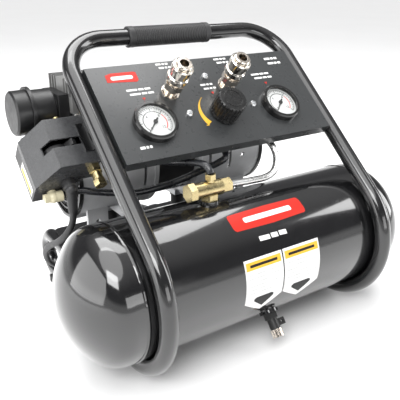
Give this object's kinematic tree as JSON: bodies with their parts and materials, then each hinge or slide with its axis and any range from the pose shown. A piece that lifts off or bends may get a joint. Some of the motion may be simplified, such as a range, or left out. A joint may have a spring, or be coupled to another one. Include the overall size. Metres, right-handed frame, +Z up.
{
  "type": "air compressor",
  "caption": "Portable air compressor: horizontal tank in a leaning tube frame, control panel with gauges and quick couplers, and a motor with finned cylinders behind.",
  "frame": {"origin": "on the floor, under the middle of the frame and tank", "axes": "+X along the tank to its right as the panel is faced, +Y to the back, +Z up"},
  "size_m": [0.447, 0.479, 0.3436],
  "materials": {
    "tank_paint": "gloss black paint",
    "frame_paint": "gloss black powder coat",
    "panel_paint": "semi-gloss charcoal powder coat",
    "fitting_black": "black oxide",
    "zinc_steel": "bright zinc plate",
    "brass": "machined, slightly dulled",
    "foot_rubber": "moulded, matte",
    "grip_rubber": "fine-ribbed, satin",
    "gauge_black": "gloss black enamel",
    "dial_white": "matte white",
    "gauge_lens": "clear, polished",
    "needle_black": "matte black",
    "regulator_zinc": "as cast",
    "knob_plastic": "satin, moulded ribs",
    "nickel": "nickel plate, slightly warm",
    "sleeve_nickel": "nickel plate, fine turning marks",
    "hose_rubber": "smooth, semi-gloss",
    "cast_aluminium": "bead-blasted casting",
    "head_aluminium": "die cast, satin",
    "tube_aluminium": "drawn, bright",
    "stator_steel": "black varnish",
    "copper": "enamelled copper wire",
    "bearing_steel": "ground steel",
    "fan_plastic": "moulded",
    "guard_black": "black paint on wire",
    "filter_plastic": "moulded, satin",
    "filter_felt": "pleated felt",
    "switch_plastic": "moulded",
    "cover_plastic": "satin, fine grain",
    "cream_plastic": "moulded nylon",
    "cord_rubber": "smooth jacket"
  },
  "bodies": {
    "frame": {"tank_barrel": "tank_paint", "tank_head_left": "tank_paint", "tank_head_right": "tank_paint", "drain_valve_body": "fitting_black", "check_valve": "brass", "hoop_tube": "frame_paint", "left_runner": "frame_paint", "right_runner": "frame_paint", "rubber_feet": "foot_rubber", "grip_sleeve": "grip_rubber", "control_panel": "panel_paint", "panel_screws": "zinc_steel", "gauge_cases": "gauge_black", "gauge_dials": "dial_white", "gauge_lenses": "gauge_lens", "regulator_body": "regulator_zinc", "air_manifold": "regulator_zinc", "coupler_body_left": "nickel", "coupler_body_right": "nickel", "supply_hose": "hose_rubber", "gauge_hose": "hose_rubber", "pump_tray": "frame_paint", "pump_mounts": "foot_rubber", "crankcase_left": "cast_aluminium", "crankcase_right": "cast_aluminium", "stator": "stator_steel", "stator_windings": "copper", "tie_bolts": "zinc_steel", "shaft_bearings": "bearing_steel", "fan_guards": "guard_black", "cylinders": "head_aluminium", "head_left": "head_aluminium", "head_right": "head_aluminium", "delivery_tubes": "tube_aluminium", "filter_housing": "filter_plastic", "filter_element": "filter_felt", "filter_cap": "filter_plastic", "switch_base": "switch_plastic", "switch_cover": "cover_plastic", "switch_elbow": "cream_plastic", "switch_unions": "brass", "safety_valve": "brass", "cord_gland": "switch_plastic", "power_cord": "cord_rubber", "cord_coil": "cord_rubber", "power_plug": "cord_rubber"},
    "rotor": {"motor_shaft": "bearing_steel", "fan_left": "fan_plastic", "fan_right": "fan_plastic"},
    "piston_left": {"piston_left": "head_aluminium"},
    "piston_right": {"piston_right": "head_aluminium"},
    "tank_needle": {"tank_gauge_needle": "needle_black"},
    "line_needle": {"line_gauge_needle": "needle_black"},
    "spindle": {"regulator_spindle": "zinc_steel"},
    "knob": {"regulator_knob": "knob_plastic"},
    "sleeve_left": {"coupler_sleeve_left": "sleeve_nickel"},
    "sleeve_right": {"coupler_sleeve_right": "sleeve_nickel"},
    "drain_knob": {"drain_knob": "zinc_steel"},
    "switch_lever": {"switch_lever": "switch_plastic"},
    "safety_ring": {"safety_ring": "zinc_steel"}
  },
  "joints": [
    {"name": "motor_spin", "type": "hinge", "parent": "frame", "child": "rotor", "pos_m": [-0.021, 0.0725, 0.181], "axis": [1, 0, 0], "continuous": true},
    {"name": "piston_left_stroke", "type": "slide", "parent": "frame", "child": "piston_left", "axis": [0, 0, 1], "range_m": [-0.007, 0.007]},
    {"name": "piston_right_stroke", "type": "slide", "parent": "frame", "child": "piston_right", "axis": [0, 0, 1], "range_m": [-0.007, 0.007]},
    {"name": "tank_gauge_turn", "type": "hinge", "parent": "frame", "child": "tank_needle", "pos_m": [-0.089, -0.04621, 0.25431], "axis": [0, -0.66, 0.7513], "range_deg": [-270, 0], "stiffness_Nm_per_rad": 0.002},
    {"name": "line_gauge_turn", "type": "hinge", "parent": "frame", "child": "line_needle", "pos_m": [0.082, -0.04621, 0.25431], "axis": [0, -0.66, 0.7513], "range_deg": [-270, 0], "stiffness_Nm_per_rad": 0.002},
    {"name": "regulator_turn", "type": "hinge", "parent": "frame", "child": "spindle", "pos_m": [0, -0.04621, 0.25431], "axis": [0, -0.66, 0.7513], "range_deg": [-540, 540]},
    {"name": "regulator_lock", "type": "slide", "parent": "spindle", "child": "knob", "axis": [0, -0.66, 0.7513], "range_m": [0, 0.004]},
    {"name": "sleeve_left_release", "type": "slide", "parent": "frame", "child": "sleeve_left", "axis": [0, 0.66, -0.7513], "range_m": [0, 0.003], "stiffness_N_per_m": 3000, "springref_m": -0.003},
    {"name": "sleeve_right_release", "type": "slide", "parent": "frame", "child": "sleeve_right", "axis": [0, 0.66, -0.7513], "range_m": [0, 0.003], "stiffness_N_per_m": 3000, "springref_m": -0.003},
    {"name": "drain_turn", "type": "hinge", "parent": "frame", "child": "drain_knob", "pos_m": [0.003, -0.13662, 0.03842], "axis": [0, -0.6639, -0.7478], "range_deg": [0, 540]},
    {"name": "switch_throw", "type": "hinge", "parent": "frame", "child": "switch_lever", "pos_m": [-0.176, 0.01322, 0.22], "axis": [0, 0.7513, 0.66], "range_deg": [-60, 0]},
    {"name": "relief_pull", "type": "slide", "parent": "frame", "child": "safety_ring", "axis": [0, 0.7513, 0.66], "range_m": [0, 0.0025], "stiffness_N_per_m": 2000, "springref_m": -0.002}
  ]
}
